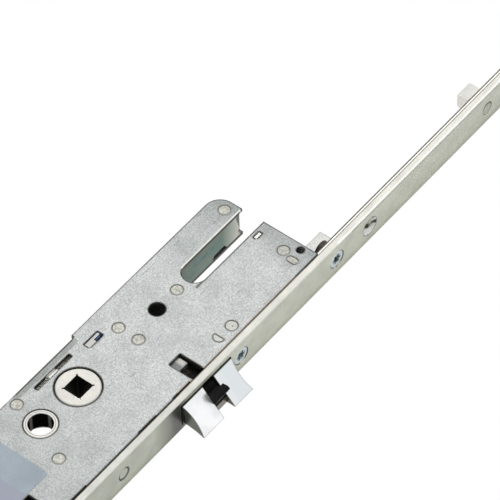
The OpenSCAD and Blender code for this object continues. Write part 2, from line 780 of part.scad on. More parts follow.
module upper_rail() color("#DDDCD4") difference() {
    rail(rail_up0, rail_up1, hook_up);
    // Notch for the drive plate's finger
    block(rail_x0 - past, rail_x1 + past, plate_y0 - seat, rail_w, tab_top - finger_h - seat,
        tab_top + seat);
}

module lower_rail() color("#DDDCD4") difference() {
    rail(rail_low0, rail_low1, -hook_down);
    block(rail_x0 - past, rail_x1 + past, plate_y0 - seat, rail_w, tab_low - seat,
        tab_low + finger_h + seat);
}

module hook_pin(hook_z) {
    bar_y(hook_pin_x, hook_z - throw / 2, hook_pin_r, -rail_w / 2, rail_w / 2);
}

module upper_hook_pin() color("#AEB3B8") hook_pin(hook_up);

module lower_hook_pin() color("#AEB3B8") hook_pin(-hook_down);

// Nylon guides behind the rails, each with a peg that is fast in the faceplate
module rail_guides() color("#D8D8D8") for (z = guides_z) {
    half = guide_w / 2;
    x1 = rail_x0 - gap;
    bar_x(x1, -brk, 0, z, peg_r, peg_r);
    bar_x(-brk, 0, 0, z, peg_r, peg_r - brk);
    translate([0, 0, z - guide_h / 2]) linear_extrude(guide_h) polygon([
        [x1, -half], [x1, half], [x1 - guide_d + 0.8, half], [x1 - guide_d, half - 0.8],
        [x1 - guide_d, 0.8 - half], [x1 - guide_d + 0.8, -half]
    ]);
}

// Threaded sleeve that holds the rail back at the top of the case
module rail_sleeve() color("#77797B") {
    x1 = rail_x0 - gap;
    difference() {
        union() {
            bar_x(x1 - 2.2, back_x, 0, sleeve_z, peg_r, peg_r);
            bar_x(x1 - 2.2, x1, 0, sleeve_z, peg_r + 0.9, peg_r + 0.9);
        }
        bar_x(x1 - 2.2 - past, back_x + past, 0, sleeve_z, screw_r + seat, screw_r + seat);
    }
}

// A countersunk screw with a six-lobed recess
module sunk_screw(z, tip) {
    sunk = 0.25;
    head = csk_r - seat - sunk;
    lobe = 0.5;
    difference() {
        union() {
            bar_x(tip, -0.5 - sunk, 0, z, screw_r, screw_r);
            bar_x(screw_r - head - sunk, -sunk, 0, z, screw_r, head);
        }
        translate([-1.8, 0, z]) rotate([0, 90, 0]) linear_extrude(1.8 + past) union() {
            circle(r = 1.55);
            for (a = [0:60:300]) rotate(a) translate([1.75, 0]) circle(r = lobe);
        }
    }
}

module case_screws() color("#C4CCD2") {
    sunk_screw(upper_screw_z, lug_x + 1);
    sunk_screw(low_screw_z, lug_x + 1);
    sunk_screw(sleeve_z, rail_x0 - gap - 2);
}

module deadbolt() color("#CDD0D2") {
    head_y = bolt_w / 2;
    slot_r = bolt_pin_r + gap;
    pin = [bolt_pin_x, bolt_pin_z];
    end = pin + [-throw, throw];
    wall = slot_r + 1.8;
    translate([0, 0, bolt_z0]) linear_extrude(bolt_h) polygon([
        [bolt_rear_x, -head_y], [-0.8, -head_y], [-0.2, 0.6 - head_y],
        [-0.2, head_y - 0.6], [-0.8, head_y], [bolt_rear_x, head_y]
    ]);
    slab(works_y0, works_y1) difference() {
        polygon([
            [bolt_rear_x, bolt_z0], [bolt_rear_x, bolt_z1], [bolt_rear_x - 8, bolt_z1],
            end + [wall, wall - 2], end + [wall - 2, wall], end + [-1, wall],
            end + [-wall, 1], end + [-wall, -2], pin + [-wall - 3, 1], [bolt_pin_x - 6, bolt_z0]
        ]);
        slot(pin, end, slot_r);
    }
}

// Sheet tray of a hook box, open to the front and to one side
module hook_tray(z) difference() {
    union() {
        block(box_x0, back_x, in_y, half_t, z - box_low, z + box_high);
        block(box_x0, box_x0 + sheet_t, -in_y, in_y, z - box_low, z + box_high);
        for (s = [-1, 1]) {
            edge = s > 0 ? z + box_high - sheet_t : z - box_low;
            block(box_x0, rail_x0 - gap, -in_y, in_y, edge, edge + sheet_t);
        }
        // Threaded blocks for the box's screws
        for (s = box_screws) {
            block(-16, rail_x0 - gap, -in_y, in_y, z + s - 5, z + s + 5);
        }
    }
    bar_y(pivot_x, z, pivot_r - 0.8 + seat, in_y - past, half_t + past);
    for (s = box_screws) {
        bar_x(-16 - past, 0, 0, z + s, screw_r + seat, screw_r + seat);
    }
    hook_rivet_holes(z);
}

module hook_cover(z) difference() {
    block(box_x0, back_x, -half_t, -in_y, z - box_low, z + box_high);
    bar_y(pivot_x, z, pivot_r - 0.8 + seat, -half_t - past, -in_y + past);
    hook_rivet_holes(z);
    // Inspection slot over the blade
    slab(-half_t - past, -in_y + past) slot([pivot_x, z - throw], [pivot_x, z - throw - 2 * blade_half], 2.5);
}

hook_rivet_places = [[box_x0 + 5, 5.3 - box_low], [box_x0 + 5, box_high - 5.3]];

module hook_rivet_holes(z) {
    for (p = hook_rivet_places) {
        bar_y(p[0], z + p[1], rivet_r + seat, -half_t - past, half_t + past);
    }
}

module hook_pivot(z) {
    bar_y(pivot_x, z, pivot_r, -in_y, in_y);
    stud(pivot_x, z, pivot_r - 0.8, -half_t, half_t, brk);
}

// Place of the drive pin as the hook carries it, once the rail has travelled s.
// The frame runs out along the mouth of the hook's slot, half way round from the blade.
mouth_turn = 45;
function pin_at(s) =
    let (h = s - throw / 2, rho = norm([pin_arm, h]))
    let (a = atan2(h, pin_arm) - 90 * s / throw + mouth_turn)
    [rho * cos(a), rho * sin(a)];

// Point of the slot's wall beside the pin at travel s
function wall_at(s) =
    let (p = pin_at(s - 0.01), q = pin_at(s + 0.01), d = (q - p) / norm(q - p))
    pin_at(s) + (hook_pin_r + 0.25) * [-d[1], d[0]];

// Swing hook as it hangs inside its box, the claw towards the faceplate
module hook(z) {
    difference() {
        union() {
            translate([pivot_x, 0, z]) slab(-hook_t / 2, hook_t / 2) difference() {
                rotate(-90) hook_blade();
                rotate(-mouth_turn) polygon(concat(
                    [wall_at(0) + [8, 0]],
                    [for (i = [0:40]) wall_at(throw * i / 40)],
                    [wall_at(throw) + [8, 0]]
                ));
            }
            bar_y(pivot_x, z, boss_r, works_y0, -works_y0);
        }
        bar_y(pivot_x, z, pivot_r + fit, -half_t, half_t);
    }
}

// Blade of the hook as it stands when thrown: the claw points up
module hook_blade() {
    nose_x = hook_reach - 11;
    circle(r = blade_half + 0.5);
    polygon([
        [0, -blade_half], [hook_reach - 7, -blade_half], [hook_reach - 2, 2 - blade_half],
        [hook_reach, 5 - blade_half], [hook_reach, claw_h - 4], [hook_reach - 2, claw_h - 1],
        [hook_reach - 5, claw_h], [nose_x + 2, claw_h], [nose_x, claw_h - 2],
        [nose_x - 0.5, blade_half + 1.5], [nose_x - 2.5, blade_half], [18.2, blade_half],
        [14.8, 9], [13.6, 11.5], [11, 13.8], [8.6, 14.8], [6.4, 14.9], [3.6, 13.6],
        [0, blade_half + 0.5]
    ]);
}

module upper_hook_tray() color("#C5C7C5") hook_tray(hook_up);

module upper_hook_cover() color("#C5C7C5") hook_cover(hook_up);

module upper_hook_pivot() color("#D2D0C6") hook_pivot(hook_up);

module upper_hook() color("#CDD0D2") hook(hook_up);

module lower_hook_tray() color("#C5C7C5") hook_tray(-hook_down);

module lower_hook_cover() color("#C5C7C5") hook_cover(-hook_down);

module lower_hook_pivot() color("#D2D0C6") hook_pivot(-hook_down);

module lower_hook() color("#CDD0D2") hook(-hook_down);

module hook_box_rivets() color("#D2D0C6") for (h = [hook_up, -hook_down]) {
    for (p = hook_rivet_places) {
        stud(p[0], h + p[1], rivet_r, -half_t, half_t, brk);
        bar_y(p[0], h + p[1], rivet_body_r, -in_y, in_y);
    }
}

module hook_box_screws() color("#C4CCD2") for (h = [hook_up, -hook_down]) {
    for (s = box_screws) sunk_screw(h + s, -15);
}

faceplate();
case_tray();
case_cover();
case_rivets();
screw_lugs();
slot_channel();
top_guide();
handle_bush();
follower_bearings();
follower();
return_spring_upper();
return_spring_lower();
latch_head();
latch_insert();
latch_tail();
latch_rivet();
latch_spring();
drive_plate();
bolt_drive_pin();
upper_rail();
lower_rail();
upper_hook_pin();
lower_hook_pin();
rail_guides();
rail_sleeve();
case_screws();
deadbolt();
upper_hook_tray();
upper_hook_cover();
upper_hook_pivot();
upper_hook();
lower_hook_tray();
lower_hook_cover();
lower_hook_pivot();
lower_hook();
hook_box_rivets();
hook_box_screws();
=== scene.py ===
import math
import bpy
import bmesh
from mathutils import Matrix, Vector


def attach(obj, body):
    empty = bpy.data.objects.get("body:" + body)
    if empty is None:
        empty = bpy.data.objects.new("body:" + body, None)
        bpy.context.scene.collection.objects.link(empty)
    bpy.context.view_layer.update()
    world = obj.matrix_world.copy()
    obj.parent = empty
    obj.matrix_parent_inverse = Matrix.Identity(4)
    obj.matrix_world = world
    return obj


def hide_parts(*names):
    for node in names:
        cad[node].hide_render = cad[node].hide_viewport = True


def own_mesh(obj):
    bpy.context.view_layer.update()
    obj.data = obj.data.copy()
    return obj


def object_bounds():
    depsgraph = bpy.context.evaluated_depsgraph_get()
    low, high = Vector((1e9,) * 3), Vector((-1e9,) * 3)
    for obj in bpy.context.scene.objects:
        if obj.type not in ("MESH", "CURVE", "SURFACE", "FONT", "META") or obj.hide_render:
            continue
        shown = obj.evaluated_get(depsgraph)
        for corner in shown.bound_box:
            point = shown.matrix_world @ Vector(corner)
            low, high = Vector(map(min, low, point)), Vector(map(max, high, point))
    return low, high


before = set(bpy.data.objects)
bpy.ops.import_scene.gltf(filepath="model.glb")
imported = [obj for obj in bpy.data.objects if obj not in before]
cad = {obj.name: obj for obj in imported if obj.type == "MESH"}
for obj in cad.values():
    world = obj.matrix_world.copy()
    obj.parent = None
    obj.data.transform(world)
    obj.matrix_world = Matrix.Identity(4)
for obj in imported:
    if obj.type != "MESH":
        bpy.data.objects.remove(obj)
cad_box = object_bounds()

# ---- Camera ----
# The lock was photographed from the front, from the pictured side and from well below its middle,
# with a long lens. The camera's place and its three directions, in metres, were worked out from the
# edges of the lock case.
lens = bpy.data.cameras.new("camera")
lens.sensor_width = 36.0
lens.lens = 304.92
lens.clip_start = 0.05
lens.clip_end = 30.0
camera = bpy.data.objects.new("camera", lens)
bpy.context.scene.collection.objects.link(camera)
stand = (0.62569, -1.24643, -0.69145)
right = Vector((0.78375334, 0.0203469, 0.62073884))
down = Vector((0.46991502, 0.63407776, -0.61410525))
ahead = Vector((-0.40609183, 0.77300155, 0.48739925))
turn = Matrix((right, -down, -ahead)).transposed().to_4x4()
camera.matrix_world = Matrix.Translation(stand) @ turn
bpy.context.scene.camera = camera
bpy.context.scene.view_settings.view_transform = "Standard"

# ---- Studio ----
# A pale floor under the lock's foot, an even white surround that metal reflects, one broad lamp
# from the pictured side and a weaker one from behind, so that the faceplate's front stays a shade
# darker than its side.


def srgb(code):
    """Linear colour of an sRGB hex value."""
    parts = [int(code[i:i + 2], 16) / 255 for i in (1, 3, 5)]
    return [p / 12.92 if p <= 0.04045 else ((p + 0.055) / 1.055) ** 2.4 for p in parts] + [1.0]


def add(tree, kind, values=None, links=None, stops=None, **settings):
    """Adds a node to a tree, with its settings, its own values, its links and its ramp's stops."""
    made = tree.nodes.new(kind)
    for name, value in settings.items():
        setattr(made, name, value)
    for name, value in (values or {}).items():
        made.inputs[name].default_value = value
    for name, source in (links or {}).items():
        tree.links.new(source, made.inputs[name])
    for i, (position, colour) in enumerate(stops or ()):
        ramp = made.color_ramp.elements
        stop = ramp[i] if i < len(ramp) else ramp.new(position)
        stop.position = position
        stop.color = srgb(colour)
    return made


surround = bpy.data.worlds.new("surround")
surround.use_nodes = True
bpy.context.scene.world = surround
sky = surround.node_tree
sky.nodes.clear()
rays = add(sky, "ShaderNodeLightPath")
seen = add(sky, "ShaderNodeMath", operation="MAXIMUM", links={
    0: rays.outputs["Is Camera Ray"], 1: rays.outputs["Is Glossy Ray"]})
seen = add(sky, "ShaderNodeMath", operation="MAXIMUM", links={
    0: seen.outputs[0], 1: rays.outputs["Is Transmission Ray"]})
lit = add(sky, "ShaderNodeBackground", {"Color": srgb("#FFFFFF"), "Strength": 0.34})
white = add(sky, "ShaderNodeBackground", {"Color": srgb("#FFFFFF"), "Strength": 1.0})
either = add(sky, "ShaderNodeMixShader", links={
    0: seen.outputs[0], 1: lit.outputs[0], 2: white.outputs[0]})
add(sky, "ShaderNodeOutputWorld", links={"Surface": either.outputs[0]})

for name, energy, spread, aim in (
    ("key_lamp", 1.65, 38, (-0.04, 0.95, -0.28)),
    ("fill_lamp", 1.0, 60, (0.22, -0.90, -0.35)),
):
    lamp = bpy.data.lights.new(name, "SUN")
    lamp.energy = energy
    lamp.angle = math.radians(spread)
    holder = bpy.data.objects.new(name, lamp)
    holder.rotation_euler = Vector(aim).to_track_quat("-Z", "Y").to_euler()
    bpy.context.scene.collection.objects.link(holder)

MM = 0.001
floor_reach = 12.0
floor_gap = 0.2 * MM
white_share = 0.6  # how much of the floor is plain white to the camera
floor_paint = bpy.data.materials.new("matt_pale_paint")
floor_paint.use_nodes = True
tree = floor_paint.node_tree
matt = tree.nodes["Principled BSDF"]
matt.inputs["Base Color"].default_value = srgb("#F4F4F2")
matt.inputs["Roughness"].default_value = 0.9
rays = add(tree, "ShaderNodeLightPath")
part = add(tree, "ShaderNodeMath", {1: white_share}, {0: rays.outputs["Is Camera Ray"]},
           operation="MULTIPLY")
pale = add(tree, "ShaderNodeEmission", {"Color": srgb("#FFFFFF"), "Strength": 1.0})
either = add(tree, "ShaderNodeMixShader", links={
    0: part.outputs[0], 1: matt.outputs[0], 2: pale.outputs[0]})
tree.links.new(either.outputs[0], tree.nodes["Material Output"].inputs["Surface"])
shape = bmesh.new()
bmesh.ops.create_grid(shape, x_segments=1, y_segments=1, size=floor_reach)
bmesh.ops.translate(shape, verts=shape.verts, vec=(0, 0, cad_box[0][2] - floor_gap))
mesh = bpy.data.meshes.new("floor")
shape.to_mesh(mesh)
shape.free()
mesh.materials.append(floor_paint)
floor = bpy.data.objects.new("floor", mesh)
bpy.context.scene.collection.objects.link(floor)

# ---- Lock case: side sheets and hook boxes ----
# Cold rolled steel sheet of 1.5 mm, punched and bent, then barrel zinc plated and left dull. The
# eye sees a fine light and dark speckle, soft grey clouds and short scuffs. Places below are in
# millimetres and the same as in the part's source.
WIDE = 90  # past the lock on every side
CASE_END = 400  # past the case above and below, and short of the hook boxes
FROM_SIDE = (1, 0, 1)  # spots on the side sheet, whatever their depth
FACTOR, UNDER, OVER, MIXED = 0, 6, 7, 2  # sockets of a Mix node of colours, and its result
CLOUD = 9 * MM
CREVICE_SHADE_REACH = 0.6 * MM  # reach of the painted shade that darkens joints and crevices


def finish(name, colour, metallic, roughness, grain, shades, bump=0.0, lie=(1, 1, 1)):
    """A metal or plastic with a grain of that many millimetres, drawn out by lie and coloured by
    shades, with painted shade darkening its joints and crevices. Gives the tree, its shader, its
    colour and the Object coordinates. A real grain is too fine to show, so each is drawn as coarse
    as it needs to."""
    made = bpy.data.materials.new(name)
    made.use_nodes = True
    tree = made.node_tree
    shader = tree.nodes["Principled BSDF"]
    shader.inputs["Base Color"].default_value = srgb(colour)
    shader.inputs["Metallic"].default_value = metallic
    shader.inputs["Roughness"].default_value = roughness
    place = add(tree, "ShaderNodeTexCoord").outputs["Object"]
    along = add(tree, "ShaderNodeMapping", {"Scale": lie}, {"Vector": place})
    speckle = {"Scale": 1 / (grain * MM), "Detail": 3.0, "Roughness": 0.65}
    noise = add(tree, "ShaderNodeTexNoise", speckle, {"Vector": along.outputs[0]})
    cloud = add(tree, "ShaderNodeTexNoise", {"Scale": 1 / CLOUD, "Detail": 4.0}, {"Vector": place})
    ramp = add(tree, "ShaderNodeValToRGB", links={0: noise.outputs["Fac"]}, stops=shades)
    clouds = add(tree, "ShaderNodeValToRGB", links={0: cloud.outputs["Fac"]},
                 stops=((0.34, "#EEEEEF"), (0.62, "#FFFFFF")))
    mixed = add(tree, "ShaderNodeMix", {FACTOR: 1.0}, {UNDER: ramp.outputs[0],
                OVER: clouds.outputs[0]}, data_type="RGBA", blend_type="MULTIPLY")
    # Painted shade: ambient occlusion darkens the colour in joints and crevices
    joint = add(tree, "ShaderNodeAmbientOcclusion", {"Distance": CREVICE_SHADE_REACH}, samples=8)
    crevice_shade = add(tree, "ShaderNodeValToRGB", links={0: joint.outputs["AO"]},
                stops=((0.3, "#45443D"), (0.72, "#FFFFFF")))
    crevice_shaded = add(tree, "ShaderNodeMix", {FACTOR: 1.0}, {UNDER: mixed.outputs[MIXED],
               OVER: crevice_shade.outputs[0]}, data_type="RGBA", blend_type="MULTIPLY")
    tree.links.new(crevice_shaded.outputs[MIXED], shader.inputs["Base Color"])
    if bump:
        relief = add(tree, "ShaderNodeBump", {"Strength": bump, "Distance": 0.05 * MM},
                     {"Height": noise.outputs["Fac"]})
        tree.links.new(relief.outputs[0], shader.inputs["Normal"])
    return tree, shader, crevice_shaded.outputs[MIXED], place


def made_of(tree):
    """The material that a tree belongs to."""
    return next(m for m in bpy.data.materials if m.node_tree == tree)


def dress(tree, *names):
    """Gives CAD nodes the material of a tree in all their slots."""
    for name in names:
        if not cad[name].material_slots:
            cad[name].data.materials.append(made_of(tree))
        for one in cad[name].material_slots:
            one.material = made_of(tree)


def inside(tree, place, low, high, blur=0.1):
    """A mask that is 1 in a box between two corners, with an edge that many millimetres soft."""
    middle = [(a + b) / 2 * MM for a, b in zip(low, high)]
    half = [(b - a) / 2 * MM for a, b in zip(low, high)]
    off = add(tree, "ShaderNodeVectorMath", {1: middle}, {0: place}, operation="SUBTRACT")
    size = add(tree, "ShaderNodeVectorMath", links={0: off.outputs[0]}, operation="ABSOLUTE")
    over = add(tree, "ShaderNodeVectorMath", {1: half}, {0: size.outputs[0]}, operation="SUBTRACT")
    axes = add(tree, "ShaderNodeSeparateXYZ", links={0: over.outputs[0]})
    most = add(tree, "ShaderNodeMath", links={0: axes.outputs[0], 1: axes.outputs[1]},
               operation="MAXIMUM")
    most = add(tree, "ShaderNodeMath", links={0: most.outputs[0], 1: axes.outputs[2]},
               operation="MAXIMUM")
    return add(tree, "ShaderNodeMapRange", {"From Min": blur / 2 * MM, "From Max": -blur / 2 * MM},
               {"Value": most.outputs[0]}).outputs[0]


def paint(tree, shader, under, mask, colour, how="MIX"):
    """Lays a colour over another where a mask is 1, or tints it there with how MULTIPLY."""
    mixed = add(tree, "ShaderNodeMix", {OVER: srgb(colour)}, {FACTOR: mask, UNDER: under},
                data_type="RGBA", blend_type=how)
    tree.links.new(mixed.outputs[MIXED], shader.inputs["Base Color"])
    return mixed.outputs[MIXED]


def near(tree, place, spots, reach, blur=0.1, across=FROM_SIDE):
    """A mask that is 1 within reach millimetres of any of the spots, seen from side or front."""
    flat = add(tree, "ShaderNodeVectorMath", {1: across}, {0: place}, operation="MULTIPLY")
    least = None
    for spot in spots:
        gap = add(tree, "ShaderNodeVectorMath", {1: [v * MM * a for v, a in zip(spot, across)]},
                  {0: flat.outputs[0]}, operation="DISTANCE").outputs["Value"]
        least = gap if least is None else add(
            tree, "ShaderNodeMath", links={0: least, 1: gap}, operation="MINIMUM").outputs[0]
    return add(tree, "ShaderNodeMapRange", {"From Min": (reach + blur / 2) * MM,
               "From Max": (reach - blur / 2) * MM}, {"Value": least}).outputs[0]


def both(tree, one, other, how="MULTIPLY"):
    """Two masks taken together, or one without the other with how SUBTRACT."""
    return add(tree, "ShaderNodeMath", links={0: one, 1: other}, operation=how,
               use_clamp=True).outputs[0]


def edges(tree, width):
    """A mask along every edge of a piece, that many millimetres wide."""
    soft = add(tree, "ShaderNodeBevel", {"Radius": width * MM}, samples=8)
    flat = add(tree, "ShaderNodeNewGeometry").outputs["True Normal"]
    same = add(tree, "ShaderNodeVectorMath", links={0: soft.outputs[0], 1: flat},
               operation="DOT_PRODUCT")
    return add(tree, "ShaderNodeMapRange", {"From Min": 0.99, "From Max": 0.93},
               {"Value": same.outputs["Value"]}).outputs[0]


tree, shader, shade, place = finish(
    "dull_zinc_plated_sheet", "#C4C6C4", metallic=0.2, roughness=0.5, grain=0.45,
    shades=((0.34, "#A3A6A6"), (0.64, "#DCDFDD")), bump=0.2)
scuff_width = 1.6 * MM
slant = add(tree, "ShaderNodeMapping", {"Rotation": (0, math.radians(38), 0),
            "Scale": (1, 1, 0.12)}, {"Vector": place})
scuff = add(tree, "ShaderNodeTexNoise", {"Scale": 1 / scuff_width, "Detail": 2.0},
            {"Vector": slant.outputs[0]})
scuffs = add(tree, "ShaderNodeValToRGB", links={0: scuff.outputs["Fac"]},
             stops=((0.24, "#B0B2B4"), (0.3, "#FFFFFF")))
mixed = add(tree, "ShaderNodeMix", {FACTOR: 0.8}, {UNDER: shade, OVER: scuffs.outputs[0]},
            data_type="RGBA", blend_type="MULTIPLY")
shade = mixed.outputs[MIXED]
# Rear side of the case, and the space in front of its cover sheet and just behind it
rear, before, behind = -53, -9, -5.9
for low, high, blur, tint in (
    # Darker towards the lower end, up the rear lobe and at the upper end
    ((-WIDE, -WIDE, -CASE_END), (WIDE, WIDE, -14), 40, "#EBECEC"),
    ((-WIDE, -WIDE, 70), (-38, WIDE, CASE_END), 10, "#EDEEEE"),
    ((-WIDE, -WIDE, 97), (WIDE, WIDE, CASE_END), 14, "#D2D4D4"),
    # Rear bend beside the follower
    ((rear, before, -19), (-48.6, behind, 16.6), 0.3, "#CFD0CE"),
):
    shade = paint(tree, shader, shade, inside(tree, place, low, high, blur), tint, "MULTIPLY")
for low, high, colour in (
    # Painted shade: dark lines down the rear edge, down the lobe and up the slot's front edge
    ((rear, before, -17), (-50.6, behind, 15.5), "#20211F"),
    ((rear, before, 58), (-52.15, behind, 97), "#4A4A45"),
    ((-30.35, before, 63), (-29.3, -6, 104), "#6B6C66"),
):
    shade = paint(tree, shader, shade, inside(tree, place, low, high, blur=0.2), colour)
# Painted shade as a dark line along every edge, fainter round the rivets and tenons and browner
# beside the faceplate
lug_tenon = (-7.6, 0, 57)
rivet_spots = [
    (-40.9, 0, 30.5), (-31.4, 0, 30.7), (-47.6, 0, -20.1), (-19.5, 0, -29.6), (-35, 0, 57.9),
    (-15, 0, 97.7), lug_tenon, (-45.2, 0, 99.3), (-9.4, 0, 95.7), (-8.3, 0, 49.9)]
painted_edge_shade = edges(tree, width=1.1)
shade = paint(tree, shader, shade, painted_edge_shade, "#8D8E87")
painted_edge_shade = both(tree, painted_edge_shade, near(tree, place, rivet_spots, reach=3.9), "SUBTRACT")
shade = paint(tree, shader, shade, painted_edge_shade, "#33332D")
brown = both(tree, painted_edge_shade, inside(tree, place, (-4.6, before, 20), (WIDE, 0, WIDE), blur=0.2))
shade = paint(tree, shader, shade, brown, "#8A7F70")
for low, high, blur, colour in (
    # Painted highlight along the slot's rear cut edge, and bright tabs in the two small windows
    ((-40.75, before, 67), (-39.4, behind, 103), 0.2, "#E9EAE6"),
    ((-28.3, before, 95.2), (-26.3, 0, 99.1), 0.1, "#EFEEEA"),
    ((-46.1, -7.3, 16.5), (-43, 0, 24.4), 0.1, "#C4C3BF"),
    # Painted shade over the inside of the case, above and below the step in its rear edge
    ((-51.6, -7.15, 17.5), (-3.5, 6.02, 102.3), 0.1, "#2B2B26"),
    ((-50.4, -7.15, -126.4), (-3.5, 6.02, 17.6), 0.1, "#2B2B26"),
    # Navy window walls lightened as painted light, painted light on the spring slot's wall, painted
    # shade behind the slot lining
    ((-46.5, -7.15, 20.3), (-42.8, behind, 25), 0.1, "#4A678C"),
    ((-48.3, -7.3, -3.4), (-47.3, behind, 1.4), 0.1, "#F1EFE8"),
    ((-40.6, 5.9, 64), (-29.4, 7.4, 104), 0.1, "#3B3A33"),
):
    shade = paint(tree, shader, shade, inside(tree, place, low, high, blur), colour)
dress(tree, "case_cover", "case_tray", "upper_hook_cover", "upper_hook_tray",
      "lower_hook_cover", "lower_hook_tray")

# ---- Rivet ends, lugs and guides of the case ----
# Mild steel and cast zinc blocks whose round ends are upset in the side sheets. They are zinc
# plated on their own, creamier than the sheet, with small dents from the press.
tree, shader, shade, place = finish(
    "upset_zinc_plated_steel", "#CFCDC0", metallic=0.15, roughness=0.42, grain=1.1,
    shades=((0.32, "#A29F92"), (0.5, "#C1C0B6"), (0.66, "#DCDBD3")), bump=0.5)
# The ends fade into the sheet at their rims
rim = both(tree, near(tree, place, rivet_spots, reach=2.75),
           near(tree, place, rivet_spots, reach=2.15, blur=0.3), "SUBTRACT")
paint(tree, shader, shade, rim, "#B4B5B1")
dress(tree, "case_rivets", "top_guide", "hook_box_rivets", "upper_hook_pivot", "lower_hook_pivot",
      "latch_rivet")
# Die-cast lugs: grey, with a peg through the faceplate that is lit on one side only
tree, shader, shade, place = finish(
    "diecast_zinc_lug", "#C9CAC4", metallic=0.2, roughness=0.45, grain=0.9,
    shades=((0.3, "#BDBEB8"), (0.7, "#DAD9D2")), bump=0.4)
FROM_FRONT = (0, 1, 1)  # spots on the faceplate, whatever their depth
lug_peg = -16.3  # its height
peg = inside(tree, place, (-0.5, -4, -20), (1, 4, -12))
shade = paint(tree, shader, shade, peg, "#C6C9B8")
lit_side = near(tree, place, [(0, -0.5, lug_peg - 0.3)], reach=2.25, blur=0.3, across=FROM_FRONT)
shade = paint(tree, shader, shade, both(tree, peg, lit_side, "SUBTRACT"), "#3F4037")
# Painted shade: a dark dot in the dimple at the centre of the round lug tenon
paint(tree, shader, shade, near(tree, place, [lug_tenon], reach=0.28, blur=0.2), "#66665B")
dress(tree, "screw_lugs")

# ---- Handle bush ----
# A bush turned from free-cutting steel and pressed into the side sheet, for the handle's screw. Its
# end is bright with one fine groove, and its bore carries painted shade: near black and dull.
tree, shader, shade, place = finish(
    "turned_bright_steel", "#EDEBE6", metallic=0.25, roughness=0.3, grain=0.3,
    shades=((0.3, "#E9E7E1"), (0.7, "#F6F4F0")), bump=0.1)
hub = -35  # x of the follower and of the bush below it
bush = (hub, 0, -21.5)
# Painted shade: the bore is near black
bore = inside(tree, place, (hub - 5, -7.1, -26.5), (hub + 5, 7, -16.5), blur=0.3)
shade = paint(tree, shader, shade, bore, "#14150F")
groove = both(tree, near(tree, place, [bush], reach=5.75), near(tree, place, [bush], reach=5.45),
              "SUBTRACT")
paint(tree, shader, shade, groove, "#9A998F")
# The bore's painted shade also takes away its metal and sheen, and makes it rough
for name, turned, oiled in (
    ("Metallic", 0.25, 0.0), ("Specular IOR Level", 0.5, 0.0), ("Roughness", 0.3, 0.95),
):
    dull = add(tree, "ShaderNodeMapRange", {"To Min": turned, "To Max": oiled}, {"Value": bore})
    tree.links.new(dull.outputs[0], shader.inputs[name])
dress(tree, "handle_bush")

# ---- Slot lining ----
# Thin steel strip folded to a channel and passivated. The film on the zinc is blue-green with
# straw and pink patches a few millimetres wide, drawn out along the strip.
tree, shader, shade, place = finish(
    "blue_green_passivated_strip", "#7E938A", metallic=0.3, roughness=0.36, grain=3.2,
    shades=((0.3, "#426F6B"), (0.45, "#5A897F"), (0.57, "#6F8671"), (0.7, "#8F8A70")), bump=0.1,
    lie=(1, 1, 0.35))
# Olive towards the closed end, paler at the mouth, and dark lines of painted shade at the cut edges
olive = inside(tree, place, (-WIDE, -WIDE, 0), (WIDE, WIDE, 72), blur=16)
shade = paint(tree, shader, shade, olive, "#E6DFCC", "MULTIPLY")
mouth = inside(tree, place, (-WIDE, -WIDE, 96), (WIDE, WIDE, 200), blur=9)
shade = paint(tree, shader, shade, mouth, "#D9DDD0")
paint(tree, shader, shade, edges(tree, width=0.7), "#6F7468")
dress(tree, "slot_channel")

# ---- Follower and its bearings ----
# The follower is die-cast zinc, tumbled smooth, and turns in black acetal rings. Its square takes
# the handle's spindle, and is painted near black inside as shade.
tree, shader, shade, place = finish(
    "tumbled_diecast_zinc", "#E3E0D9", metallic=0.15, roughness=0.42, grain=0.6,
    shades=((0.3, "#D9D7CF"), (0.7, "#ECEAE3")), bump=0.3)
# Painted shade inside the square, which also loses its sheen
socket = inside(tree, place, (hub - 5.2, -7.2, -5.2), (hub + 5.2, 7.2, 5.2))
shade = paint(tree, shader, shade, socket, "#16160F")
# Painted light on the rear arm, which lies deep in the slot and gets little light
rear_arm = inside(tree, place, (-60, before, -9), (-44, 9, 9))
paint(tree, shader, shade, rear_arm, "#FFFEFA")
dull = add(tree, "ShaderNodeMapRange", {"To Min": 0.5, "To Max": 0.05}, {"Value": socket})
tree.links.new(dull.outputs[0], shader.inputs["Specular IOR Level"])
dress(tree, "follower")
# Moulded acetal: an even black with a low sheen
tree = finish(
    "black_acetal", "#171716", metallic=0.0, roughness=0.5, grain=0.5,
    shades=((0.3, "#121211"), (0.7, "#1D1D1C")), bump=0.2)[0]
dress(tree, "follower_bearings")

# ---- Springs ----
# Compression springs of hard drawn carbon steel wire, seated on tongues of the case and oiled, so
# that each turn shines. Copies stand for the two that a moving piece presses, and hang from the
# case.
tree = finish(
    "oiled_spring_wire", "#A9A598", metallic=0.3, roughness=0.3, grain=0.4,
    shades=((0.3, "#A29D8E"), (0.7, "#E0DCCF")), bump=0.1)[0]
dress(tree, "return_spring_upper", "return_spring_lower", "latch_spring")
for node, joint, axis, seat, pressed in (
    ("return_spring_lower", "follower_turn", (0, 0, 1), (-46.8, -3, -15.26), 0.4),
    ("latch_spring", "latch_slide", (1, 0, 0), (-29.8, -1.4, 40.5), 0.26),
):
    mesh = cad[node].data.copy()
    wire = bmesh.new()
    wire.from_mesh(mesh)
    bmesh.ops.remove_doubles(wire, verts=wire.verts, dist=0.001 * MM)
    wire.to_mesh(mesh)
    wire.free()
    wound = bpy.data.objects.new(node + "_wound", mesh)
    bpy.context.scene.collection.objects.link(wound)
    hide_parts(node)
    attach(wound, "case")
    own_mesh(wound)

# ---- Latch, deadbolt, hooks and the works that move them ----
# Sintered steel, machined where they run and satin nickel plated: smooth, cool and pale. The
# latch's faces that look up or down carry painted shade, and its acetal insert takes the wear.
# Plates punched from sheet and turned pins carry the motion.


